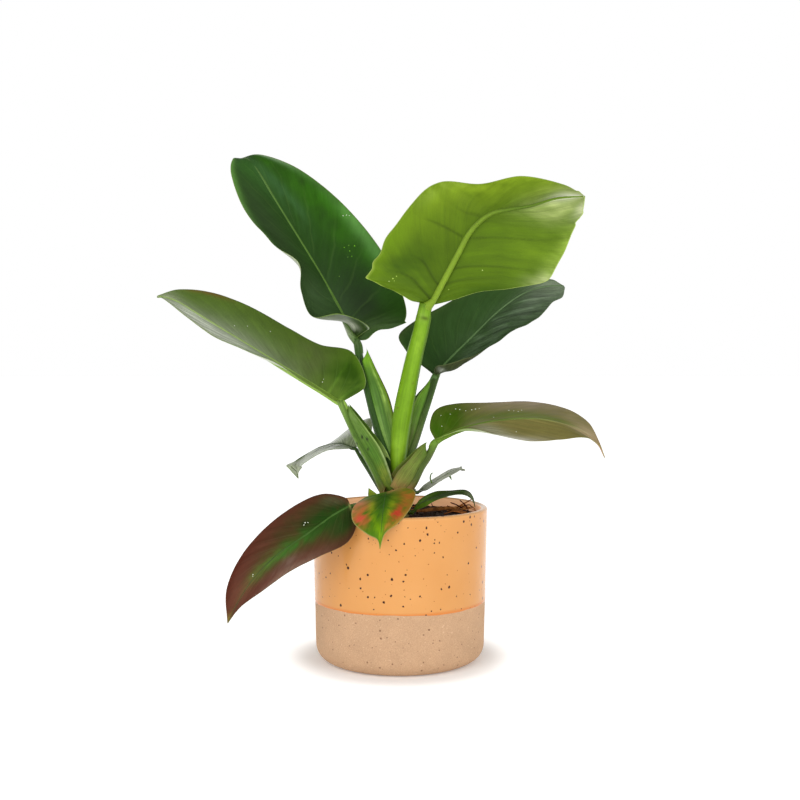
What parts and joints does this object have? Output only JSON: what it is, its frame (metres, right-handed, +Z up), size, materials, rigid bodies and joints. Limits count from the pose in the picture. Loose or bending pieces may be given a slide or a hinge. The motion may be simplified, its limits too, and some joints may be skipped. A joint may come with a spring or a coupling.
{
  "type": "potted philodendron",
  "caption": "Young leafy house plant with glossy paddle-shaped leaves on sheathing stalks, rooted in soil in a round, flat-bottomed, part-glazed stoneware pot.",
  "frame": {"origin": "centre of the pot's flat underside", "axes": "+Z up along the pot's axis; the side that the picture shows faces -Y, and +X is to its right"},
  "size_m": [0.3561, 0.1799, 0.4225],
  "materials": {
    "stoneware": "gloss",
    "soil": "matte",
    "stem": "matte",
    "root": "matte",
    "husk": "matte",
    "leaf_new": "satin",
    "leaf_dark": "gloss",
    "leaf_olive": "gloss",
    "leaf_tan": "gloss",
    "leaf_red": "gloss",
    "leaf_small": "gloss",
    "stalk_lime": "satin",
    "stalk_green": "satin",
    "stalk_tan": "satin"
  },
  "bodies": {
    "root": {"pot": "stoneware", "soil": "soil", "stem": "stem", "root": "root", "husk": "husk", "bud_scale": "stalk_lime", "leaf_new_stalk": "stalk_lime", "leaf_new_blade": "leaf_new", "leaf_tall_left_stalk": "stalk_green", "leaf_tall_left_blade": "leaf_dark", "leaf_right_stalk": "stalk_green", "leaf_right_blade": "leaf_dark", "leaf_left_stalk": "stalk_green", "leaf_left_blade": "leaf_olive", "leaf_right_low_stalk": "stalk_tan", "leaf_right_low_blade": "leaf_tan", "leaf_back_left_stalk": "stalk_green", "leaf_back_left_blade": "leaf_small", "leaf_front_stalk": "stalk_lime", "leaf_front_blade": "leaf_red", "leaf_low_left_stalk": "stalk_tan", "leaf_low_left_blade": "leaf_red", "leaf_low_right_stalk": "stalk_lime", "leaf_low_right_blade": "leaf_small", "leaf_back_right_stalk": "stalk_green", "leaf_back_right_blade": "leaf_small"}
  },
  "joints": []
}
